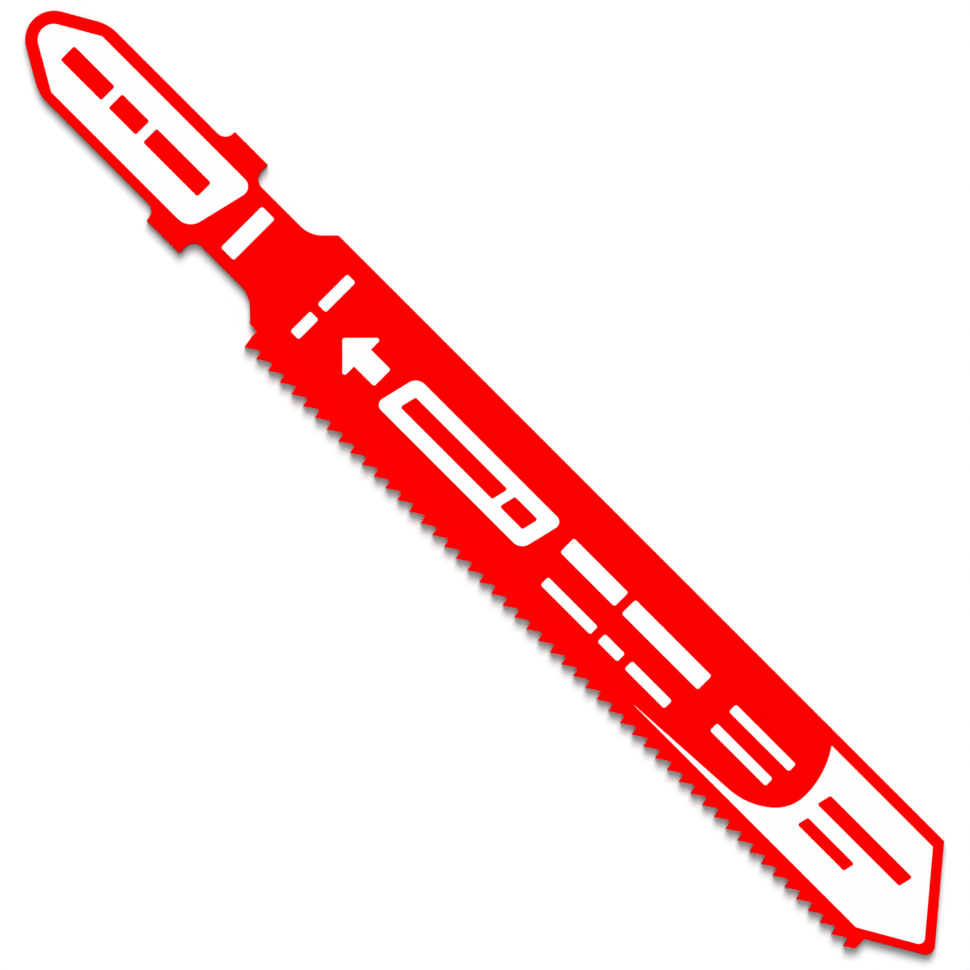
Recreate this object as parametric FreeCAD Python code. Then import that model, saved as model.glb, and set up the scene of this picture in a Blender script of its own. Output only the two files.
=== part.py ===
import FreeCAD, Part
import math
import os

# A jigsaw blade with a T shank: a flat steel blade, a strip of carbide teeth welded along its
# lower edge, and the white print on its face. Lengths are in millimetres and angles in degrees.
# X runs from the shank to the tip, Y to the back edge, Z out of the printed face. The origin is on
# the shank's centre line, level with the lugs' bearing faces and halfway through the steel.

# Steel
STEEL_THICKNESS = 1.0
EDGE_BREAK = 0.08

# Shank, from its rounded end to the lugs that carry the blade in the saw
SHANK_LENGTH = 14.15
SHANK_WIDTH = 6.3
SHANK_TAPER_ANGLE = 30.0
SHANK_NOSE_RADIUS = 1.85
SHANK_CORNER_RADIUS = 2.8
LUG_LENGTH = 3.0
LUG_SPAN = 8.0
LUG_FILLET = 0.7

# Neck, from the lugs to the blade's shoulders
NECK_LENGTH = 5.05
NECK_WIDTH = 5.4
NECK_FILLET = 2.0
SHOULDER_ANGLE = 45.0

# Blade, from its shoulders to its tip
BLADE_WIDTH = 8.0
BACK_EDGE_LENGTH = 54.6
TIP_BACK_ANGLE = 50.0
TIP_TOOTH_ANGLE = 30.0
TIP_DROP = 1.71
TIP_RADIUS = 0.6

# Carbide tooth strip
INCH = 25.4
TEETH_PER_INCH = 24
STRIP_SETBACK = 0.65
STRIP_WELD_THICKNESS = 1.1
STRIP_TIP_THICKNESS = 1.3
TOOTH_BACKING = 0.67
TOOTH_CLEARANCE_ANGLE = 33.0
TOOTH_RAKE_LEAN = 9.4
GULLET_RADIUS = 0.15
FIRST_TOOTH_RELIEF = 0.2

# Print
INK_THICKNESS = 0.03
PRINT_SLANT = 13.5

# White panel on the shank, by its distances from the shank's outline
PANEL_BACK_MARGIN = 0.84
PANEL_TOOTH_MARGIN = 0.66
PANEL_NOSE_MARGIN = 0.84
PANEL_NOSE_DROP = 0.025
PANEL_END = 0.43
PANEL_UPPER_RADIUS = 0.65
PANEL_LOWER_RADIUS = 1.15

# White label on the blade, from the blade's shoulders
LABEL_START = 9.21
LABEL_LENGTH = 13.14
LABEL_HEIGHT = 3.125
LABEL_CENTRE = -0.395
LABEL_ACUTE_RADIUS = 0.45
LABEL_OBTUSE_RADIUS = 0.8

# White field at the tip, by its distances from the blade's outline
FIELD_BACK_MARGIN = 0.775
FIELD_WELD_MARGIN = 0.145
FIELD_TIP_BACK_MARGIN = 0.7
FIELD_TIP_TOOTH_MARGIN = 0.585
FIELD_TIP_RADIUS = 0.38

# Stripe that sweeps up into that field, back from the corner of the back edge and the tip
STRIPE_START = 20.16
STRIPE_RISE_ANGLE = 3.35
SWEEP_START = 8.31
SWEEP_ENTRY_ANGLE = 41.0
SWEEP_ENTRY_RADIUS = 4.66
SWEEP_RADIUS = 2.72
SWEEP_LEAN = 1.06

# Plain arrow along the cutting stroke, from the blade's shoulders
ARROW_START = 4.8
ARROW_LENGTH = 3.6
ARROW_WIDTH = 3.6
ARROW_HEAD_LENGTH = 1.8
ARROW_SHAFT_WIDTH = 1.5
ARROW_CENTRE = -0.45

# Plain bars of print, in rows that the bars share out in the ratios given
BAR_GAP = 0.65
BAR_RADIUS = 0.15

# Row in the shank panel, from the shank's rounded end to the lugs' bearing faces
SHANK_ROW_SETBACK = 3.05
SHANK_ROW_END = 1.75
SHANK_ROW_HEIGHT = 1.25
SHANK_ROW_SHARES = (3, 2, 4)

# Bar across the neck, from the lugs' bearing faces
NECK_BAR_PLACE = 2.17
NECK_BAR_LENGTH = 3.7
NECK_BAR_HEIGHT = 1.15

# Row across the blade, from its shoulders
CROSS_ROW_PLACE = 2.52
CROSS_ROW_LENGTH = 5.13
CROSS_ROW_HEIGHT = 0.75
CROSS_ROW_CENTRE = 0.075
CROSS_ROW_SHARES = (2, 3)

# Row in the label, set in from both of its ends
LABEL_ROW_MARGIN = 1.05
LABEL_ROW_HEIGHT = 1.15
LABEL_ROW_SHARES = (4, 1)

# Two rows on the blade, from its shoulders
BOLD_ROW_START = 24.26
BOLD_ROW_LENGTH = 12.4
BOLD_ROW_HEIGHT = 1.25
BOLD_ROW_CENTRE = 0.335
BOLD_ROW_SHARES = (5, 7)
LIGHT_ROW_START = 24.85
LIGHT_ROW_LENGTH = 11.15
LIGHT_ROW_HEIGHT = 0.7
LIGHT_ROW_CENTRE = -2.3
LIGHT_ROW_SHARES = (5, 2, 4)

# Two bars inside the sweep, back from the same corner as the stripe
BAY_BARS_START = 15.55
BAY_BARS_HEIGHT = 0.65
BAY_UPPER_LENGTH = 5.4
BAY_UPPER_CENTRE = 0.45
BAY_LOWER_LENGTH = 5.0
BAY_LOWER_CENTRE = -1.25

# Two slanted bars in the field at the tip, back from the same corner
TIP_BARS_START = 7.3
TIP_UPPER_LENGTH = 7.4
TIP_UPPER_HEIGHT = 1.0
TIP_UPPER_CENTRE = 0.43
TIP_LOWER_LENGTH = 4.2
TIP_LOWER_HEIGHT = 0.8
TIP_LOWER_CENTRE = -1.48

# Places that the pieces share
SHANK_NOSE_CENTRE = SHANK_NOSE_RADIUS - SHANK_LENGTH - LUG_LENGTH
BLADE_START = NECK_LENGTH + (BLADE_WIDTH - NECK_WIDTH) / 2 / math.tan(math.radians(SHOULDER_ANGLE))
BACK_Y = BLADE_WIDTH / 2
WELD_Y = -BLADE_WIDTH / 2
FACE_Z = STEEL_THICKNESS / 2


def point(x, y):
    """A point in the blade's plane."""
    return FreeCAD.Vector(x, y, 0)


def direction(angle):
    """The unit vector at an angle from X."""
    turn = math.radians(angle)
    return point(math.cos(turn), math.sin(turn))


def meet(start, angle, other_start, other_angle):
    """Where the line through start at angle crosses the line through other_start at other_angle."""
    along = direction(angle)
    across = direction(other_angle + 90)
    return start + along * ((other_start - start).dot(across) / along.dot(across))


def outline(corners):
    """A closed wire through (corner, radius) pairs, each corner rounded by an arc tangent to its sides."""
    arcs = []
    for index, (corner, radius) in enumerate(corners):
        back = (corners[index - 1][0] - corner).normalize()
        ahead = (corners[(index + 1) % len(corners)][0] - corner).normalize()
        inward = (back + ahead).normalize()
        half = back.getAngle(ahead) / 2
        reach = radius / math.tan(half)
        middle = corner + inward * (radius / math.sin(half) - radius)
        arcs.append((corner + back * reach, middle, corner + ahead * reach))
    edges = []
    for index, (start, middle, end) in enumerate(arcs):
        side_start = arcs[index - 1][2]
        if side_start.distanceToPoint(start) > Part.Precision.confusion():
            edges.append(Part.LineSegment(side_start, start).toShape())
        if corners[index][1] > 0:
            edges.append(Part.Arc(start, middle, end).toShape())
    return Part.Wire(edges)


def mirrored(corners):
    """The same corners on the other side of the centre line, in the opposite order."""
    return [(point(corner.x, -corner.y), radius) for corner, radius in reversed(corners)]


def shank_apex(nose_radius):
    """Where the shank's tapers would meet, tangent to a nose of this radius round the shank's own centre."""
    return point(SHANK_NOSE_CENTRE - nose_radius / math.sin(math.radians(SHANK_TAPER_ANGLE)), 0)


def tip_corners():
    """The blade's corners at its tip: on the back edge, at the point, and on the weld line."""
    back = point(BLADE_START + BACK_EDGE_LENGTH, BACK_Y)
    nose = meet(back, -TIP_BACK_ANGLE, point(0, -TIP_DROP), 0)
    weld = meet(nose, TIP_TOOTH_ANGLE, point(0, WELD_Y), 0)
    return back, nose, weld


def steel_outline():
    """The outline that the blade is stamped to: shank, lugs, neck, shoulders, blade and tip."""
    shank_y = -SHANK_WIDTH / 2
    lug_y = -LUG_SPAN / 2
    neck_y = -NECK_WIDTH / 2
    apex = shank_apex(SHANK_NOSE_RADIUS)
    tooth_side = [
        (meet(apex, -SHANK_TAPER_ANGLE, point(0, shank_y), 0), SHANK_CORNER_RADIUS),
        (point(-LUG_LENGTH, shank_y), min(LUG_FILLET, shank_y - lug_y)),
        (point(-LUG_LENGTH, lug_y), 0),
        (point(0, lug_y), 0),
        (point(0, neck_y), min(LUG_FILLET, neck_y - lug_y)),
        (point(NECK_LENGTH, neck_y), NECK_FILLET),
        (point(BLADE_START, WELD_Y), 0),
    ]
    back, nose, weld = tip_corners()
    tip = [(weld, 0), (nose, TIP_RADIUS), (back, 0)]
    return outline([(apex, SHANK_NOSE_RADIUS)] + tooth_side + tip + mirrored(tooth_side))


def on_weld_line(edge):
    """Whether an edge lies along the blade's lower edge, where the carbide strip is welded."""
    middle = edge.CenterOfMass
    return abs(middle.y - WELD_Y) < Part.Precision.confusion() and middle.x > BLADE_START


def blade_body():
    """The flat steel blade, with its stamped edges lightly broken except along the weld."""
    blank = Part.Face(steel_outline()).extrude(FreeCAD.Vector(0, 0, STEEL_THICKNESS))
    blank.translate(FreeCAD.Vector(0, 0, -FACE_Z))
    faces = [face for face in blank.Faces if abs(face.normalAt(0, 0).z) > 0.5]
    rims = [edge for face in faces for edge in face.Edges if not on_weld_line(edge)]
    return blank.makeChamfer(EDGE_BREAK, rims).Solids[0]


def tooth_depth():
    """The height of a tooth, from its pitch and the slopes of its two faces."""
    clearance_run = 1 / math.tan(math.radians(TOOTH_CLEARANCE_ANGLE))
    rake_run = math.tan(math.radians(TOOTH_RAKE_LEAN))
    return INCH / TEETH_PER_INCH / (clearance_run + rake_run)


def tooth_outline(start_x, end_x):
    """The strip's outline: sharp teeth that point at the shank, with rounded gullets between them."""
    pitch = INCH / TEETH_PER_INCH
    depth = tooth_depth()
    root_y = WELD_Y - TOOTH_BACKING
    tip_y = root_y - depth
    clearance_slope = math.tan(math.radians(TOOTH_CLEARANCE_ANGLE))
    first_rise = depth + FIRST_TOOTH_RELIEF
    tip_x = start_x + first_rise * math.tan(math.radians(TOOTH_RAKE_LEAN))
    corners = [
        (point(start_x, WELD_Y), 0),
        (point(start_x, tip_y + first_rise), 0),
        (point(tip_x, tip_y), 0),
    ]
    while tip_x + pitch <= end_x:
        corners.append((point(tip_x + depth / clearance_slope, root_y), GULLET_RADIUS))
        tip_x += pitch
        corners.append((point(tip_x, tip_y), 0))
    land_x = min(end_x, tip_x + depth / clearance_slope)
    land_y = tip_y + (land_x - tip_x) * clearance_slope
    if land_x < end_x:
        corners.append((point(land_x, land_y), 0))
    corners += [(point(end_x, land_y), 0), (point(end_x, WELD_Y), 0)]
    return outline(corners)


def carbide_tooth_strip():
    """The carbide strip: its teeth cut through a bar that thickens from the weld to the tips."""
    start_x = BLADE_START + STRIP_SETBACK
    end_x = tip_corners()[2].x
    height = TOOTH_BACKING + tooth_depth()
    section = [
        (0, STRIP_WELD_THICKNESS / 2),
        (0, -STRIP_WELD_THICKNESS / 2),
        (-height, -STRIP_TIP_THICKNESS / 2),
        (-height, STRIP_TIP_THICKNESS / 2),
    ]
    ring = [FreeCAD.Vector(start_x, WELD_Y + y, z) for y, z in section]
    bar = Part.Face(Part.makePolygon(ring + ring[:1])).extrude(FreeCAD.Vector(end_x - start_x, 0, 0))
    teeth = Part.Face(tooth_outline(start_x, end_x)).extrude(FreeCAD.Vector(0, 0, STRIP_TIP_THICKNESS))
    teeth.translate(FreeCAD.Vector(0, 0, -STRIP_TIP_THICKNESS / 2))
    return bar.common(teeth).Solids[0]


def ink(wire):
    """A film of ink on the face, inside a wire."""
    film = Part.Face(wire).extrude(FreeCAD.Vector(0, 0, INK_THICKNESS))
    film.translate(FreeCAD.Vector(0, 0, FACE_Z))
    return film


def bars(start, length, height, shares=(1,), slant=0, turn=0):
    """A row of plain bars from the middle of its start, along X or turned from it, in the shares' ratios."""
    along = direction(turn)
    up = (along * math.tan(math.radians(slant)) + direction(turn + 90)) * height
    unit = (length - BAR_GAP * (len(shares) - 1)) / sum(shares)
    corner = start - up / 2
    films = []
    for share in shares:
        end = corner + along * (unit * share)
        films.append(ink(outline([(place, BAR_RADIUS) for place in (corner, end, end + up, corner + up)])))
        corner = end + along * BAR_GAP
    return films


def shank_panel():
    """The white panel that follows the shank's outline and ends in a slanted edge at the lugs."""
    upper_y = SHANK_WIDTH / 2 - PANEL_BACK_MARGIN
    lower_y = PANEL_TOOTH_MARGIN - SHANK_WIDTH / 2
    nose_radius = SHANK_NOSE_RADIUS - PANEL_NOSE_MARGIN
    apex = shank_apex(nose_radius) - point(0, PANEL_NOSE_DROP)
    upper_end = point(PANEL_END, upper_y)
    panel = outline([
        (apex, nose_radius),
        (meet(apex, -SHANK_TAPER_ANGLE, point(0, lower_y), 0), 0),
        (meet(upper_end, 90 - PRINT_SLANT, point(0, lower_y), 0), PANEL_LOWER_RADIUS),
        (upper_end, PANEL_UPPER_RADIUS),
        (meet(apex, SHANK_TAPER_ANGLE, point(0, upper_y), 0), 0),
    ])
    row_start = SHANK_ROW_SETBACK - SHANK_LENGTH - LUG_LENGTH
    row_length = -SHANK_ROW_END - row_start
    return ink(panel).cut(bars(point(row_start, 0), row_length, SHANK_ROW_HEIGHT, SHANK_ROW_SHARES))


def label_panel():
    """The white slanted label in the middle of the blade."""
    start = point(BLADE_START + LABEL_START, LABEL_CENTRE - LABEL_HEIGHT / 2)
    length = point(LABEL_LENGTH, 0)
    rise = point(LABEL_HEIGHT * math.tan(math.radians(PRINT_SLANT)), LABEL_HEIGHT)
    label = outline([
        (start, LABEL_ACUTE_RADIUS),
        (start + length, LABEL_OBTUSE_RADIUS),
        (start + length + rise, LABEL_ACUTE_RADIUS),
        (start + rise, LABEL_OBTUSE_RADIUS),
    ])
    row_start = start + rise / 2 + point(LABEL_ROW_MARGIN, 0)
    row_length = LABEL_LENGTH - 2 * LABEL_ROW_MARGIN
    return ink(label).cut(bars(row_start, row_length, LABEL_ROW_HEIGHT, LABEL_ROW_SHARES, PRINT_SLANT))


def tip_field():
    """The white field at the tip, with the stripe that sweeps up into it from the weld line."""
    back, nose, weld = tip_corners()
    upper_y = BACK_Y - FIELD_BACK_MARGIN
    lower_y = WELD_Y + FIELD_WELD_MARGIN
    back_line = back - direction(90 - TIP_BACK_ANGLE) * FIELD_TIP_BACK_MARGIN
    tooth_line = weld + direction(90 + TIP_TOOTH_ANGLE) * FIELD_TIP_TOOTH_MARGIN
    stripe_tip = point(back.x - STRIPE_START, lower_y)
    entry_reach = SWEEP_ENTRY_RADIUS * math.tan(math.radians(SWEEP_ENTRY_ANGLE - STRIPE_RISE_ANGLE) / 2)
    sweep_reach = SWEEP_RADIUS * math.tan(math.radians(90 - SWEEP_ENTRY_ANGLE) / 2)
    entry_side = direction(SWEEP_ENTRY_ANGLE) * (entry_reach + sweep_reach)
    entry_x = back.x - SWEEP_START - entry_side.x
    sweep_entry = meet(stripe_tip, STRIPE_RISE_ANGLE, point(entry_x, 0), 90)
    sweep_foot = sweep_entry + entry_side
    sweep_height = upper_y - sweep_foot.y - sweep_reach
    lean_radius = (SWEEP_LEAN ** 2 + sweep_height ** 2) / (2 * SWEEP_LEAN)
    sweep_head = sweep_foot + point(0, sweep_reach + lean_radius * SWEEP_LEAN / sweep_height)
    field = outline([
        (stripe_tip, 0),
        (meet(tooth_line, TIP_TOOTH_ANGLE, stripe_tip, 0), 0),
        (meet(tooth_line, TIP_TOOTH_ANGLE, back_line, -TIP_BACK_ANGLE), FIELD_TIP_RADIUS),
        (meet(back_line, -TIP_BACK_ANGLE, point(0, upper_y), 0), 0),
        (point(sweep_foot.x - SWEEP_LEAN, upper_y), 0),
        (sweep_head, lean_radius),
        (sweep_foot, SWEEP_RADIUS),
        (sweep_entry, SWEEP_ENTRY_RADIUS),
    ])
    row_x = back.x - TIP_BARS_START
    marks = bars(point(row_x, TIP_UPPER_CENTRE), TIP_UPPER_LENGTH, TIP_UPPER_HEIGHT, slant=PRINT_SLANT)
    marks += bars(point(row_x, TIP_LOWER_CENTRE), TIP_LOWER_LENGTH, TIP_LOWER_HEIGHT, slant=PRINT_SLANT)
    return ink(field).cut(marks)


def arrow():
    """The plain arrow that points along the cutting stroke, from the tip to the shank."""
    tip = point(BLADE_START + ARROW_START, ARROW_CENTRE)
    tooth_side = [
        (tip + point(ARROW_HEAD_LENGTH, -ARROW_WIDTH / 2), BAR_RADIUS),
        (tip + point(ARROW_HEAD_LENGTH, -ARROW_SHAFT_WIDTH / 2), 0),
        (tip + point(ARROW_LENGTH, -ARROW_SHAFT_WIDTH / 2), BAR_RADIUS),
    ]
    back_side = [(point(corner.x, 2 * tip.y - corner.y), radius) for corner, radius in reversed(tooth_side)]
    return ink(outline([(tip, BAR_RADIUS)] + tooth_side + back_side))


def white_print():
    """All the white ink: the three fields, and the arrow and bars that stand on the bare red."""
    films = [shank_panel(), label_panel(), tip_field(), arrow()]
    films += bars(point(NECK_BAR_PLACE, -NECK_BAR_LENGTH / 2), NECK_BAR_LENGTH, NECK_BAR_HEIGHT, turn=90)
    cross = point(BLADE_START + CROSS_ROW_PLACE, CROSS_ROW_CENTRE - CROSS_ROW_LENGTH / 2)
    films += bars(cross, CROSS_ROW_LENGTH, CROSS_ROW_HEIGHT, CROSS_ROW_SHARES, turn=90)
    bold = point(BLADE_START + BOLD_ROW_START, BOLD_ROW_CENTRE)
    films += bars(bold, BOLD_ROW_LENGTH, BOLD_ROW_HEIGHT, BOLD_ROW_SHARES)
    light = point(BLADE_START + LIGHT_ROW_START, LIGHT_ROW_CENTRE)
    films += bars(light, LIGHT_ROW_LENGTH, LIGHT_ROW_HEIGHT, LIGHT_ROW_SHARES)
    bay_x = tip_corners()[0].x - BAY_BARS_START
    films += bars(point(bay_x, BAY_UPPER_CENTRE), BAY_UPPER_LENGTH, BAY_BARS_HEIGHT)
    films += bars(point(bay_x, BAY_LOWER_CENTRE), BAY_LOWER_LENGTH, BAY_BARS_HEIGHT)
    return Part.Compound([solid for film in films for solid in film.Solids])


PIECES = {
    "blade_body": blade_body,
    "carbide_tooth_strip": carbide_tooth_strip,
    "white_print": white_print,
}

os.makedirs("parts", exist_ok=True)
for name, make in PIECES.items():
    make().exportStep(f"parts/{name}.step")
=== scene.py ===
import math

import bpy
import numpy as np
from bpy.props import FloatProperty, FloatVectorProperty, IntProperty, PointerProperty
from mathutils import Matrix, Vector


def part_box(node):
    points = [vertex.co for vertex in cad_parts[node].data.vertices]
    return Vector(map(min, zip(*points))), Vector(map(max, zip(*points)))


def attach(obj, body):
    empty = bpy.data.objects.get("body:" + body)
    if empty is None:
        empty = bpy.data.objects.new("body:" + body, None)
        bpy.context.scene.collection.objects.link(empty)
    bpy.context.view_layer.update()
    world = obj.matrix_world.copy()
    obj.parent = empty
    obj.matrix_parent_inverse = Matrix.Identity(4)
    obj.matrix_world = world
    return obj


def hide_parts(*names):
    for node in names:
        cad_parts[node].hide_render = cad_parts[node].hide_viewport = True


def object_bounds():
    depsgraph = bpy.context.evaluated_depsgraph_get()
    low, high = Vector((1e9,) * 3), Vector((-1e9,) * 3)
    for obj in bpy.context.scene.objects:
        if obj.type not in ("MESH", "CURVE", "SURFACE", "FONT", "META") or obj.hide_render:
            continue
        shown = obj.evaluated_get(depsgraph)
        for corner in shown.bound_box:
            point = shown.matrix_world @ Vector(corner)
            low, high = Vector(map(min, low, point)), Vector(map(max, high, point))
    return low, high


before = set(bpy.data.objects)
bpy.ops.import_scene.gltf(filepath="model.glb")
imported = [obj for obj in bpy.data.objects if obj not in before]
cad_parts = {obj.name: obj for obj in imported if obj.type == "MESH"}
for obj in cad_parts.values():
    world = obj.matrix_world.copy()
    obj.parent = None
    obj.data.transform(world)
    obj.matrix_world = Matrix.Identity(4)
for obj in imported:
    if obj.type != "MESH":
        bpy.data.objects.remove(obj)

bl_info = {
    "name": "Jigsaw Blade",
    "version": (1, 0, 0),
    "blender": (4, 5, 0),
    "location": "3D View > Sidebar > Jigsaw Blade",
    "description": "Builds a painted T-shank jigsaw blade with a carbide tooth strip, and its studio",
    "category": "Object",
}

MM = 0.001
INCH = 0.0254
CAD_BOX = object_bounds()
BODY_LOW, BODY_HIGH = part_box("blade_body")
STRIP_LOW, STRIP_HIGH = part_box("carbide_tooth_strip")

# Points along each rounded corner of an outline, and over half of each rounded rim
STEEL_ARC_STEPS, STEEL_RIM_STEPS = 17, 6
TOOTH_ARC_STEPS, TOOTH_RIM_STEPS = 6, 4

# Pattern widths, in widths of the finish's finest feature
PAINT_PATCH_WIDTHS = 20
INK_CLOUD_WIDTHS = 30
INK_GRAIN_WIDTHS = 0.8
LAY_STRETCH = (60.0, 1.0, 1.0)

# Where each pattern turns from one colour to the next, and the share of the first of two patterns
PATCH_RANGE, DIMPLE_RANGE, PATCH_SHARE = (0.35, 0.7), (0.4, 0.8), 0.6
CLOUD_RANGE = (0.4, 0.75)
WEAVE_SHARE = 0.6

WHITE = (1.0, 1.0, 1.0)
CLIP_FACTOR = 10


# Sizes, colours and lights

def length(name, millimetres, description):
    """A length property, given in millimetres and kept in metres."""
    return FloatProperty(
        name=name, description=description, default=millimetres * MM, min=0.0, precision=5, unit="LENGTH")


def angle(name, degrees, description):
    """An angle property, given in degrees and kept in radians."""
    return FloatProperty(
        name=name, description=description, default=math.radians(degrees), subtype="ANGLE")


def share(name, default, description):
    """A property between nothing and all."""
    return FloatProperty(
        name=name, description=description, default=default, min=0.0, max=1.0, subtype="FACTOR")


def strength(name, default, description):
    """A light's share of the plain level, at which a colour renders as it is written."""
    return FloatProperty(name=name, description=description, default=default, min=0.0, precision=3)


def colour(name, default, description):
    """A colour property, in the linear values that a shader takes."""
    return FloatVectorProperty(
        name=name, description=description, default=default, size=3, min=0.0, max=1.0, subtype="COLOR")


class SteelSizes(bpy.types.PropertyGroup):
    """Sizes of the stamped steel body."""

    thickness: length("Thickness", (BODY_HIGH.z - BODY_LOW.z) / MM, "Thickness of the steel")
    edge_radius: length("Edge radius", 0.08, "Rounding of the painted edges round both faces")
    weld_edge_radius: length("Weld edge radius", 0.005, "Rounding of the edges that the tooth strip meets")
    corner_radius: length("Corner radius", 0.1, "Rounding of the corners that are cut sharp")
    nose_x: length("Nose end", -BODY_LOW.x / MM, "From the shank's rounded end to the lugs' faces")
    shank_width: length("Shank width", 6.3, "Width between the shank's flat sides")
    shank_taper: angle("Shank taper", 30.0, "Slope of the tapers at the shank's end")
    nose_radius: length("Nose radius", 1.85, "Radius of the shank's rounded end")
    shank_corner: length("Shank corner", 2.8, "Radius between the tapers and the flat sides")
    lug_length: length("Lug length", 3.0, "Length of the two lugs along the shank")
    lug_span: length("Lug span", 8.0, "Width across both lugs")
    lug_fillet: length("Lug fillet", 0.7, "Radius in the corners beside the lugs")
    neck_length: length("Neck length", 5.05, "Length of the neck behind the lugs")
    neck_width: length("Neck width", 5.4, "Width of the neck")
    neck_fillet: length("Neck fillet", 2.0, "Radius where the neck widens into the shoulders")
    shoulder: angle("Shoulder angle", 45.0, "Slope of the shoulders")
    blade_width: length(
        "Blade width", (BODY_HIGH.y - BODY_LOW.y) / MM, "Width from the weld line to the back edge")
    back_edge: length("Back edge", 54.6, "Length of the straight back edge")
    tip_back: angle("Tip back angle", 50.0, "Slope of the tip's edge on the side of the back")
    tip_tooth: angle("Tip tooth angle", 30.0, "Slope of the tip's edge on the side of the teeth")
    tip_drop: length("Tip drop", 1.71, "How far the point lies below the middle line")
    tip_radius: length("Tip radius", 0.6, "Radius of the point")


class ToothSizes(bpy.types.PropertyGroup):
    """Sizes of the carbide tooth strip."""

    teeth_per_inch: IntProperty(
        name="Teeth per inch", description="Number of teeth in an inch", default=24, min=1)
    weld_thickness: length("Weld thickness", 1.1, "Thickness of the strip along the weld")
    tip_thickness: length(
        "Tip thickness", (STRIP_HIGH.z - STRIP_LOW.z) / MM, "Thickness of the strip at the tips")
    backing: length("Backing", 0.67, "Height of solid carbide between the weld and the gullets")
    clearance: angle("Clearance angle", 33.0, "Slope of a tooth's back")
    rake_lean: angle("Rake lean", 9.4, "How far a tooth's cutting face leans towards the shank")
    gullet_radius: length("Gullet radius", 0.15, "Radius at the bottom of a gullet")
    first_relief: length("First relief", 0.2, "How much further the first cutting face is ground up")
    edge_radius: length("Edge radius", 0.02, "Rounding of the painted edges round both sides")
    tip_radius: length("Tip radius", 0.025, "Rounding of the tips and of the strip's corners")


class PaintLook(bpy.types.PropertyGroup):
    """Finish of the red paint."""

    base: colour("Paint", (0.94, 0.0, 0.0), "Colour of the paint")
    # This darker red is the coat's own tone in random patches, and also painted shade in the hollows of
    # the fine dimples.
    thick_coat_and_hollow_shade: colour("Thick paint", (0.91, 0.0, 0.0), "Colour where the coat lies a little thicker")
    sheen: colour("Reflection", (1.0, 0.0, 0.0), "Colour of the reflection seen square on")
    gloss: share("Gloss", 0.25, "Strength of the reflection")
    roughness: share("Roughness", 0.4, "Mean roughness of the satin coat")
    roughness_spread: share("Roughness spread", 0.1, "How much the roughness varies over the coat")
    peel_size: length("Peel size", 0.28, "Width of the coat's fine dimples")
    peel_depth: length("Peel depth", 0.0012, "Depth of the coat's fine dimples")
    lay_size: length("Grinding lay size", 0.09, "Spacing of the ground steel's lines under the coat")
    lay_depth: length("Grinding lay depth", 0.0008, "Depth of the ground steel's lines under the coat")


class InkLook(bpy.types.PropertyGroup):
    """Finish of the white printing ink."""

    base: colour("Ink", (0.96, 0.958, 0.95), "Colour of the ink")
    thin: colour("Thin ink", (0.953, 0.94, 0.934), "Colour where the ink lies a little thinner")
    gloss: share("Gloss", 0.25, "Strength of the reflection")
    roughness: share("Roughness", 0.5, "Mean roughness of the ink")
    roughness_spread: share("Roughness spread", 0.12, "How much the roughness varies over the ink")
    screen_size: length("Screen size", 0.12, "Spacing of the screen's weave that the ink keeps")
    screen_depth: length("Screen depth", 0.001, "Depth of the screen's weave that the ink keeps")


class StudioSettings(bpy.types.PropertyGroup):
    """Floor, lights and camera."""

    floor_size: length("Floor size", 8000.0, "Width of the floor")
    floor_colour: colour("Floor", (0.996, 1.0, 1.0), "Colour of the floor, white under these lights")
    floor_bounce: share("Floor bounce", 0.12, "Share of the floor's light that reaches the blade's sides")
    key_strength: strength("Key light", 0.7, "Light of the large soft lamp above the image's top")
    key_colour: colour("Key colour", (1.0, 0.965, 0.965), "Colour of the key light")
    key_lean: angle("Key lean", 25.0, "How far the key light leans from straight above")
    key_spread: angle("Key spread", 29.0, "Width of the key light as the blade sees it")
    top_strength: strength("Top light", 0.265, "Light of the lamp straight above")
    top_colour: colour("Top colour", (0.9, 1.0, 1.0), "Colour of the top light, cool in the shadow")
    top_spread: angle("Top spread", 25.0, "Width of the top light as the blade sees it")
    room_colour: colour("Room", (0.85, 1.0, 1.0), "Colour of the room's light, a little cool")
    horizon_strength: strength("Horizon light", 0.5, "Brightness of the room low round the blade")
    zenith_strength: strength("Zenith light", 0.06, "Brightness of the room high above the blade")
    horizon_height: angle("Horizon height", 22.0, "How high the brighter part of the room reaches")
    view_centre: FloatVectorProperty(
        name="View centre", description="Point of the blade's face in the middle of the picture",
        default=(24.2 * MM, -0.65 * MM, BODY_HIGH.z), size=3, precision=5, subtype="TRANSLATION")
    view_turn: angle("View turn", 45.0, "How far the picture is turned about the upright axis")
    view_width: length("View width", 61.82, "Width of the blade's plane that the picture shows")
    lens: FloatProperty(
        name="Lens", description="Focal length in millimetres", default=600.0, min=1.0, unit="CAMERA")


class BladeProject(bpy.types.PropertyGroup):
    """Everything that the panel shows."""

    steel: PointerProperty(type=SteelSizes)
    teeth: PointerProperty(type=ToothSizes)
    paint: PointerProperty(type=PaintLook)
    ink: PointerProperty(type=InkLook)
    studio: PointerProperty(type=StudioSettings)


# Outlines

def slope_line(start, slope_angle):
    """A line through start at an angle from X, as its start and its direction."""
    return np.asarray(start, float), np.array([math.cos(slope_angle), math.sin(slope_angle)])


def crossing(first, second):
    """Where two lines cross: the first start plus the share of its direction that meets the second."""
    (start, along), (other_start, other_along) = first, second
    across = np.array([-other_along[1], other_along[0]])
    return start + along * (across @ (other_start - start)) / (across @ along)


def level(y):
    """A line along X at that height."""
    return slope_line((0.0, y), 0.0)


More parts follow.
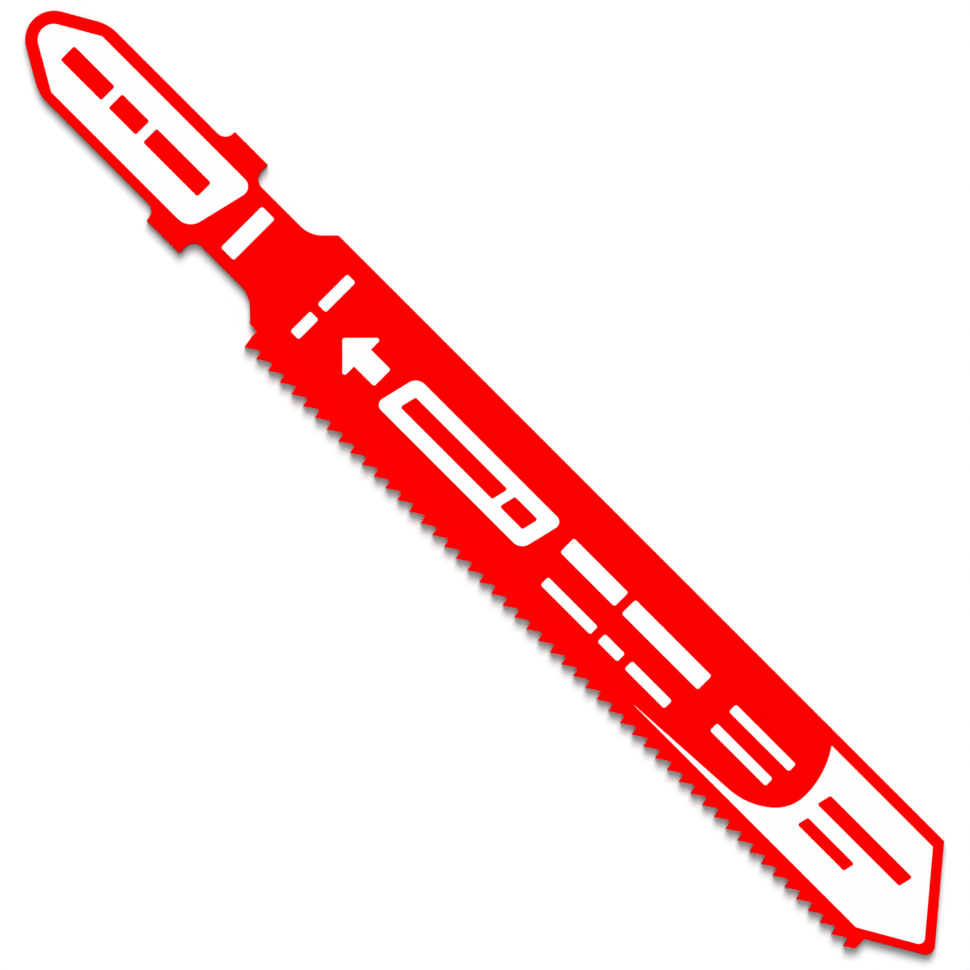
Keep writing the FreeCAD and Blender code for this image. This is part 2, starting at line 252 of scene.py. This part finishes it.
def rounded_path(corners, radii, steps):
    """Points and outward normals of a closed outline that runs anticlockwise.

    Each corner turns by an angle a. Its arc starts radius * tan(|a| / 2) before the corner, and the
    normal turns evenly from one side's to the next: point = centre + sign(a) * radius * normal.
    """
    corners = np.asarray(corners, float)
    ahead = np.roll(corners, -1, axis=0) - corners
    ahead /= np.linalg.norm(ahead, axis=1, keepdims=True)
    back = np.roll(ahead, 1, axis=0)
    turn = np.arctan2(back[:, 0] * ahead[:, 1] - back[:, 1] * ahead[:, 0], (back * ahead).sum(axis=1))
    side = np.sign(turn)[:, None]
    radii = np.asarray(radii, float)[:, None]
    out = np.stack([back[:, 1], -back[:, 0]], axis=1)
    centre = corners - back * radii * np.tan(np.abs(turn) / 2)[:, None] - side * radii * out
    swept = turn[:, None] * np.linspace(0.0, 1.0, steps)
    cos, sin = np.cos(swept), np.sin(swept)
    normals = np.stack([
        out[:, :1] * cos - out[:, 1:] * sin,
        out[:, :1] * sin + out[:, 1:] * cos,
    ], axis=2)
    points = centre[:, None, :] + (side * radii)[:, :, None] * normals
    return points.reshape(-1, 2), normals.reshape(-1, 2)


def rounded_edge(half_thickness, steps):
    """A plate's edge seen in section, top to bottom, as angles up from the outline and signs of the face.

    A point lies radius * (1 - cos angle) inside the outline, and radius * (1 - |sin angle|) off its face.
    """
    quarter = np.linspace(0.5, 0.0, steps) * np.pi
    angles = np.concatenate([quarter, -quarter[::-1]])
    faces = np.concatenate([np.ones(steps), -np.ones(steps)])
    return angles, faces, half_thickness


def carried_edge(points, normals, radii, edge):
    """The edge's section carried along an outline: grids of points and normals, section by outline.

    point = outline - normal * radius * (1 - cos angle), height = sign * (half - radius * (1 - |sin|)).
    normal = outline's normal * cos angle, and sin angle upwards.
    """
    angles, faces, half = edge
    cos, sin = np.cos(angles)[:, None], np.sin(angles)[:, None]
    inset = radii[None, :] * (1.0 - cos)
    height = faces[:, None] * (half - radii[None, :] * (1.0 - np.abs(sin)))
    place = points[None, :, :] - normals[None, :, :] * inset[:, :, None]
    grid = np.concatenate([place, height[:, :, None]], axis=2)
    lean = np.broadcast_to(normals[None, :, :] * cos[:, :, None], place.shape)
    upward = np.broadcast_to(sin[:, :, None], height.shape + (1,))
    return grid, np.concatenate([lean, upward], axis=2)


def closed_mesh(name, grid, normals):
    """A mesh from a grid that closes on itself along the outline, with a flat face over each end ring."""
    rows, columns = grid.shape[:2]
    index = np.arange(rows * columns).reshape(rows, columns)
    following = np.roll(index, -1, axis=1)
    quads = np.stack([index[:-1], index[1:], following[1:], following[:-1]], axis=2).reshape(-1, 4)
    faces = quads.tolist() + [index[0].tolist(), index[-1, ::-1].tolist()]
    mesh = bpy.data.meshes.new(name)
    mesh.from_pydata(grid.reshape(-1, 3), [], faces)
    if mesh.validate():
        raise RuntimeError(f"{name}: the mesh had faces that don't hold")
    mesh.polygons.foreach_set("use_smooth", np.ones(len(faces), bool))
    mesh.normals_split_custom_set_from_vertices(normals.reshape(-1, 3))
    return mesh


def tip_corners(size):
    """The blade's corners at its tip: on the back edge, at the point, and on the weld line."""
    back_y = size.blade_width / 2
    shoulder_x = size.neck_length + (back_y - size.neck_width / 2) / math.tan(size.shoulder)
    back = np.array([shoulder_x + size.back_edge, back_y])
    nose = crossing(slope_line(back, -size.tip_back), level(-size.tip_drop))
    weld = crossing(slope_line(nose, size.tip_tooth), level(-back_y))
    return back, nose, weld


def steel_corners(size):
    """The steel's corners and radii, anticlockwise from the shank's end, and where the weld begins."""
    shank_y, lug_y, neck_y = -size.shank_width / 2, -size.lug_span / 2, -size.neck_width / 2
    weld_y = -size.blade_width / 2
    shoulder_x = size.neck_length + (neck_y - weld_y) / math.tan(size.shoulder)
    apex = (size.nose_radius - size.nose_x - size.nose_radius / math.sin(size.shank_taper), 0.0)
    tooth_side = [
        (crossing(slope_line(apex, -size.shank_taper), level(shank_y)), size.shank_corner),
        ((-size.lug_length, shank_y), size.lug_fillet),
        ((-size.lug_length, lug_y), size.corner_radius),
        ((0.0, lug_y), size.corner_radius),
        ((0.0, neck_y), size.lug_fillet),
        ((size.neck_length, neck_y), size.neck_fillet),
        ((shoulder_x, weld_y), size.corner_radius),
    ]
    back_side = [((x, -y), radius) for (x, y), radius in reversed(tooth_side)]
    back, nose, weld = tip_corners(size)
    tip = [(weld, size.corner_radius), (nose, size.tip_radius), (back, size.corner_radius)]
    corners = [(apex, size.nose_radius)] + tooth_side + tip + back_side
    weld_start = len(tooth_side)
    return corners, weld_start


def steel_mesh(size):
    """The steel body: its outline with both rims rounded, and next to nothing taken off along the weld.

    Round each corner the rim's radius turns evenly from the radius of one side to that of the next.
    """
    corners, weld_start = steel_corners(size)
    places, corner_radii = zip(*corners)
    points, normals = rounded_path(places, corner_radii, STEEL_ARC_STEPS)
    sides = np.full(len(corners), size.edge_radius)
    sides[weld_start] = size.weld_edge_radius
    radii = np.linspace(np.roll(sides, 1), sides, STEEL_ARC_STEPS, axis=1).reshape(-1)
    rim = rounded_edge(size.thickness / 2, STEEL_RIM_STEPS)
    grid, leaning = carried_edge(points, normals, radii, rim)
    return closed_mesh("painted_blade", grid, leaning)


def tooth_mesh(size, steel):
    """The tooth strip: sharp teeth in even steps of a pitch, thickened from the weld to the tips.

    Depth = pitch / (1 / tan clearance + tan lean). Each tip is followed by its gullet, depth / tan
    clearance further on, and the last back ends in a flat or is cut off at the strip's end.
    The height of every point is multiplied by g = thickness there / thickness at the weld, and its
    normal by the inverse of that stretch: (x, y - height * g' / g * z, z / g).
    """
    pitch = INCH / size.teeth_per_inch
    slope, lean = math.tan(size.clearance), math.tan(size.rake_lean)
    depth = pitch / (1 / slope + lean)
    weld_y = -steel.blade_width / 2
    root_y = weld_y - size.backing
    tip_y = root_y - depth
    start_x, end_x = STRIP_LOW.x, tip_corners(steel)[2][0]
    first_rise = depth + size.first_relief
    first_tip = start_x + first_rise * lean
    tips = first_tip + pitch * np.arange(int((end_x - first_tip) / pitch) + 1)
    teeth = np.stack([
        np.stack([tips, np.full_like(tips, tip_y)], axis=1),
        np.stack([tips + depth / slope, np.full_like(tips, root_y)], axis=1),
    ], axis=1).reshape(-1, 2)
    if teeth[-1][0] < end_x:
        last_back = [teeth[-1], (end_x, teeth[-1][1])]
    else:
        last_back = [(end_x, tip_y + (end_x - tips[-1]) * slope)]
    heel = [(start_x, weld_y), (start_x, tip_y + first_rise)]
    corners = np.concatenate([heel, teeth[:-1], last_back, [(end_x, weld_y)]])
    radii = np.full(len(corners), size.tip_radius)
    gullets = len(heel) + 1 + 2 * np.arange(len(tips) - 1)
    radii[gullets] = size.gullet_radius
    points, normals = rounded_path(corners, radii, TOOTH_ARC_STEPS)
    rim = rounded_edge(size.weld_thickness / 2, TOOTH_RIM_STEPS)
    grid, leaning = carried_edge(points, normals, np.full(len(points), size.edge_radius), rim)
    growth = (size.tip_thickness / size.weld_thickness - 1) / (weld_y - tip_y)
    stretch = 1 + growth * (weld_y - grid[:, :, 1])
    leaning[:, :, 1] += grid[:, :, 2] * growth / stretch * leaning[:, :, 2]
    leaning[:, :, 2] /= stretch
    grid[:, :, 2] *= stretch
    leaning /= np.linalg.norm(leaning, axis=2, keepdims=True)
    return closed_mesh("painted_tooth_strip", grid, leaning)


# Shaders

class Value:
    """A shader socket that carries a number. Sums on it add Math nodes."""

    def __init__(self, shader, socket):
        self.shader = shader
        self.socket = socket

    def maths(self, operation, *values):
        node = self.shader.node("ShaderNodeMath", {"operation": operation}, dict(enumerate(values)))
        return Value(self.shader, node.outputs[0])

    def __add__(self, other):
        return self.maths("ADD", self, other)

    def __radd__(self, other):
        return self.maths("ADD", other, self)

    def __sub__(self, other):
        return self.maths("SUBTRACT", self, other)

    def __rsub__(self, other):
        return self.maths("SUBTRACT", other, self)

    def __mul__(self, other):
        return self.maths("MULTIPLY", self, other)

    def __rmul__(self, other):
        return self.maths("MULTIPLY", other, self)

    def sine(self):
        return self.maths("SINE", self)

    def between(self, low, high):
        """0 up to low, 1 from high, and a smooth step from one to the other."""
        node = self.shader.node(
            "ShaderNodeMapRange", {"interpolation_type": "SMOOTHSTEP"},
            {"Value": self, "From Min": low, "From Max": high})
        return Value(self.shader, node.outputs["Result"])


class Shader:
    """A node tree that starts empty."""

    def __init__(self, tree):
        self.tree = tree
        tree.nodes.clear()

    def node(self, kind, settings, sockets):
        """A node of that type: its settings first, then the values or links of its sockets."""
        node = self.tree.nodes.new(kind)
        for name, value in settings.items():
            setattr(node, name, value)
        for name, value in sockets.items():
            if isinstance(value, Value):
                self.tree.links.new(value.socket, node.inputs[name])
            elif isinstance(value, bpy.types.NodeSocket):
                self.tree.links.new(value, node.inputs[name])
            else:
                node.inputs[name].default_value = value
        return node

    def value(self, kind, settings, sockets, output):
        """The number that a new node gives at that output."""
        return Value(self, self.node(kind, settings, sockets).outputs[output])

    def noise(self, width, stretch=(1.0, 1.0, 1.0), detail=2.0):
        """Smooth noise with features of that width, in Object coordinates, drawn out along each axis."""
        place = self.node("ShaderNodeTexCoord", {}, {}).outputs["Object"]
        scale = tuple(1.0 / (width * factor) for factor in stretch)
        mapped = self.node("ShaderNodeMapping", {}, {"Vector": place, "Scale": scale}).outputs["Vector"]
        sockets = {"Vector": mapped, "Scale": 1.0, "Detail": detail}
        return self.value("ShaderNodeTexNoise", {}, sockets, "Fac")

    def mix(self, factor, first, second):
        """A colour between two, by factor. The Mix node keeps its colours in inputs 6 and 7."""
        node = self.node("ShaderNodeMix", {"data_type": "RGBA"}, {"Factor": factor, 6: first, 7: second})
        return node.outputs[2]

    def finish(self, colour, roughness, relief, depth, settings):
        """A surface with those links, and relief (0 to 1) raised by depth through a bump."""
        bump = self.node("ShaderNodeBump", {}, {"Height": relief, "Distance": depth, "Strength": 1.0})
        surface = self.node("ShaderNodeBsdfPrincipled", {}, {
            "Base Color": colour, "Roughness": roughness, "Normal": bump.outputs["Normal"], **settings,
        }).outputs["BSDF"]
        self.node("ShaderNodeOutputMaterial", {}, {"Surface": surface})


def opaque(rgb):
    """A colour with full alpha."""
    return (*rgb, 1.0)


def red_paint(look):
    """Satin red paint over ground steel: fine dimples, and the steel's lines faintly under them."""
    material = bpy.data.materials.get("red_paint_coat") or bpy.data.materials.new("red_paint_coat")
    material.use_nodes = True
    shader = Shader(material.node_tree)
    peel = shader.noise(look.peel_size)
    lay = shader.noise(look.lay_size, stretch=LAY_STRETCH, detail=3.0)
    patches = shader.noise(look.peel_size * PAINT_PATCH_WIDTHS, detail=3.0)
    depth = look.peel_depth + look.lay_depth
    relief = peel * (look.peel_depth / depth) + lay * (look.lay_depth / depth)
    # Painted shade: the darker red goes into the dimples' hollows, where the relief is lowest. The patches
    # are the coat's own uneven tone.
    dimples = (1 - peel).between(*DIMPLE_RANGE)
    coat = patches.between(*PATCH_RANGE) * PATCH_SHARE + dimples * (1 - PATCH_SHARE)
    roughness = look.roughness + (peel * 0.5 + patches * 0.5 - 0.5) * (2 * look.roughness_spread)
    shader.finish(
        shader.mix(coat, opaque(look.base), opaque(look.thick_coat_and_hollow_shade)), roughness, relief, depth,
        {"Specular Tint": opaque(look.sheen), "Specular IOR Level": look.gloss})
    return material


def white_ink(look):
    """White printing ink: the screen's fine weave, and a little less of it in faint clouds."""
    material = bpy.data.materials.get("white_ink_film") or bpy.data.materials.new("white_ink_film")
    material.use_nodes = True
    shader = Shader(material.node_tree)
    place = shader.node("ShaderNodeTexCoord", {}, {}).outputs["Object"]
    axes = shader.node("ShaderNodeSeparateXYZ", {}, {"Vector": place})
    rate = 2 * math.pi / look.screen_size
    threads = [Value(shader, axes.outputs[axis]) * rate for axis in ("X", "Y")]
    weave = threads[0].sine() * threads[1].sine() * 0.5 + 0.5
    grain = shader.noise(look.screen_size * INK_GRAIN_WIDTHS, detail=3.0)
    clouds = shader.noise(look.screen_size * INK_CLOUD_WIDTHS, detail=3.0)
    relief = weave * WEAVE_SHARE + grain * (1 - WEAVE_SHARE)
    roughness = look.roughness + (grain - 0.5) * (2 * look.roughness_spread)
    shader.finish(
        shader.mix(clouds.between(*CLOUD_RANGE), opaque(look.base), opaque(look.thin)),
        roughness, relief, look.screen_depth, {"Specular IOR Level": look.gloss})
    return material


# Pieces and stage

def project(context):
    """The settings that the panel shows."""
    return context.scene.jigsaw_blade


def placed(name, mesh, node, material):
    """The mesh as a piece that takes the node's place, with that material, riding on the blade's body."""
    piece = bpy.data.objects.new(name, mesh)
    bpy.context.scene.collection.objects.link(piece)
    mesh.materials.append(material)
    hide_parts(node)
    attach(piece, "root")
    return piece


class JIGSAW_OT_blade(bpy.types.Operator):
    """Build the painted steel body with its shank, lugs, neck and tip."""

    bl_idname = "jigsaw.blade"
    bl_label = "Build Blade"

    def execute(self, context):
        settings = project(context)
        mesh = steel_mesh(settings.steel)
        placed("painted_blade", mesh, "blade_body", red_paint(settings.paint))
        return {"FINISHED"}


class JIGSAW_OT_tooth_strip(bpy.types.Operator):
    """Build the painted carbide strip with its teeth."""

    bl_idname = "jigsaw.tooth_strip"
    bl_label = "Build Tooth Strip"

    def execute(self, context):
        settings = project(context)
        mesh = tooth_mesh(settings.teeth, settings.steel)
        placed("painted_tooth_strip", mesh, "carbide_tooth_strip", red_paint(settings.paint))
        return {"FINISHED"}


class JIGSAW_OT_print(bpy.types.Operator):
    """Finish the print's fields, bars and arrow as white ink."""

    bl_idname = "jigsaw.print"
    bl_label = "Finish Print"

    def execute(self, context):
        ink = white_ink(project(context).ink)
        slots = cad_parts["white_print"].material_slots
        if not slots:
            raise RuntimeError("the print has no material slot")
        for slot in slots:
            slot.material = ink
        return {"FINISHED"}


def add_lamp(name, share_of_light, tint, lean, spread, turn):
    """A lamp far away, seen as a disc of that width, leaning from straight above to the turned side.

    Its strength is pi * share / cos lean, so that a level face takes that share of the plain light.
    """
    lamp = bpy.data.lights.new(name, "SUN")
    lamp.energy = math.pi * share_of_light / math.cos(lean)
    lamp.color = tint
    lamp.angle = spread
    lamp_object = bpy.data.objects.new(name, lamp)
    lamp_object.rotation_euler = (-lean, 0.0, turn)
    bpy.context.scene.collection.objects.link(lamp_object)


class JIGSAW_OT_studio(bpy.types.Operator):
    """Set up the white floor, the soft lights and the camera that looks straight down."""

    bl_idname = "jigsaw.studio"
    bl_label = "Set Up Studio"

    def execute(self, context):
        studio = project(context).studio
        self.add_floor(studio)
        add_lamp(
            "key_light", studio.key_strength, studio.key_colour, studio.key_lean, studio.key_spread,
            studio.view_turn)
        add_lamp("top_light", studio.top_strength, studio.top_colour, 0.0, studio.top_spread, 0.0)
        self.light_room(context.scene, studio)
        self.aim_camera(context.scene, studio)
        context.scene.view_settings.view_transform = "Standard"
        context.scene.unit_settings.length_unit = "MILLIMETERS"
        return {"FINISHED"}

    def add_floor(self, studio):
        """A white floor, level with the lowest tooth tips. Its light on the blade's sides is held back."""
        reach = np.array([-0.5, 0.5]) * studio.floor_size
        x, y = np.meshgrid(reach, reach)
        grid = np.stack([x, y, np.full_like(x, CAD_BOX[0].z)], axis=2).reshape(-1, 3)
        mesh = bpy.data.meshes.new("floor")
        mesh.from_pydata(grid, [], [(0, 1, 3, 2)])
        material = bpy.data.materials.new("floor_white")
        material.use_nodes = True
        shader = Shader(material.node_tree)
        rays = shader.node("ShaderNodeLightPath", {}, {})
        seen = Value(shader, rays.outputs["Is Camera Ray"])
        dim = tuple(channel * studio.floor_bounce for channel in studio.floor_colour)
        surface = shader.node("ShaderNodeBsdfDiffuse", {}, {
            "Color": shader.mix(seen, opaque(dim), opaque(studio.floor_colour))})
        shader.node("ShaderNodeOutputMaterial", {}, {"Surface": surface.outputs["BSDF"]})
        mesh.materials.append(material)
        floor = bpy.data.objects.new("floor", mesh)
        bpy.context.scene.collection.objects.link(floor)

    def light_room(self, scene, studio):
        """A room that is white where it is seen, and lights the blade most from low round it."""
        scene.world = bpy.data.worlds.new("room")
        scene.world.use_nodes = True
        shader = Shader(scene.world.node_tree)
        rays = shader.node("ShaderNodeLightPath", {}, {})
        seen = Value(shader, rays.outputs["Is Camera Ray"])
        toward = shader.node("ShaderNodeTexCoord", {}, {}).outputs["Generated"]
        height = Value(shader, shader.node("ShaderNodeSeparateXYZ", {}, {"Vector": toward}).outputs["Z"])
        above = height.between(0.0, math.sin(studio.horizon_height))
        room = studio.horizon_strength + above * (studio.zenith_strength - studio.horizon_strength)
        glow = seen + (1 - seen) * room
        tint = shader.mix(seen, opaque(studio.room_colour), opaque(WHITE))
        light = shader.node("ShaderNodeBackground", {}, {"Color": tint, "Strength": glow})
        shader.node("ShaderNodeOutputWorld", {}, {"Surface": light.outputs["Background"]})

    def aim_camera(self, scene, studio):
        """A camera straight above the view's centre, as far as its lens needs for the view's width."""
        camera = bpy.data.cameras.new("camera")
        camera.lens = studio.lens
        distance = studio.view_width * studio.lens / camera.sensor_width
        camera.clip_start, camera.clip_end = distance / CLIP_FACTOR, distance * CLIP_FACTOR
        camera_object = bpy.data.objects.new("camera", camera)
        centre = studio.view_centre
        camera_object.location = (centre[0], centre[1], centre[2] + distance)
        camera_object.rotation_euler = (0.0, 0.0, studio.view_turn)
        scene.collection.objects.link(camera_object)
        scene.camera = camera_object


class JIGSAW_PT_panel(bpy.types.Panel):
    """The blade's sizes, finishes and build steps, in the 3D view's sidebar."""

    bl_idname = "JIGSAW_PT_panel"
    bl_label = "Jigsaw Blade"
    bl_space_type = "VIEW_3D"
    bl_region_type = "UI"
    bl_category = "Jigsaw Blade"

    def draw(self, context):
        settings = project(context)
        for operator, groups in STEPS:
            self.layout.operator(operator.bl_idname)
            for group in groups:
                box = self.layout.box()
                for name in getattr(settings, group).bl_rna.properties.keys():
                    if name not in ("rna_type", "name"):
                        box.prop(getattr(settings, group), name)


STEPS = (
    (JIGSAW_OT_blade, ("steel", "paint")),
    (JIGSAW_OT_tooth_strip, ("teeth",)),
    (JIGSAW_OT_print, ("ink",)),
    (JIGSAW_OT_studio, ("studio",)),
)
GROUPS = (SteelSizes, ToothSizes, PaintLook, InkLook, StudioSettings, BladeProject)
CLASSES = GROUPS + tuple(operator for operator, _ in STEPS) + (JIGSAW_PT_panel,)


def register():
    """Add the settings, the build steps and the panel to Blender."""
    for cls in CLASSES:
        bpy.utils.register_class(cls)
    bpy.types.Scene.jigsaw_blade = PointerProperty(type=BladeProject)


def unregister():
    """Take them out again."""
    del bpy.types.Scene.jigsaw_blade
    for cls in reversed(CLASSES):
        bpy.utils.unregister_class(cls)


def main():
    """Build the blade and its studio."""
    register()
    bpy.ops.jigsaw.blade()
    bpy.ops.jigsaw.tooth_strip()
    bpy.ops.jigsaw.print()
    bpy.ops.jigsaw.studio()


if __name__ == "__main__":
    main()
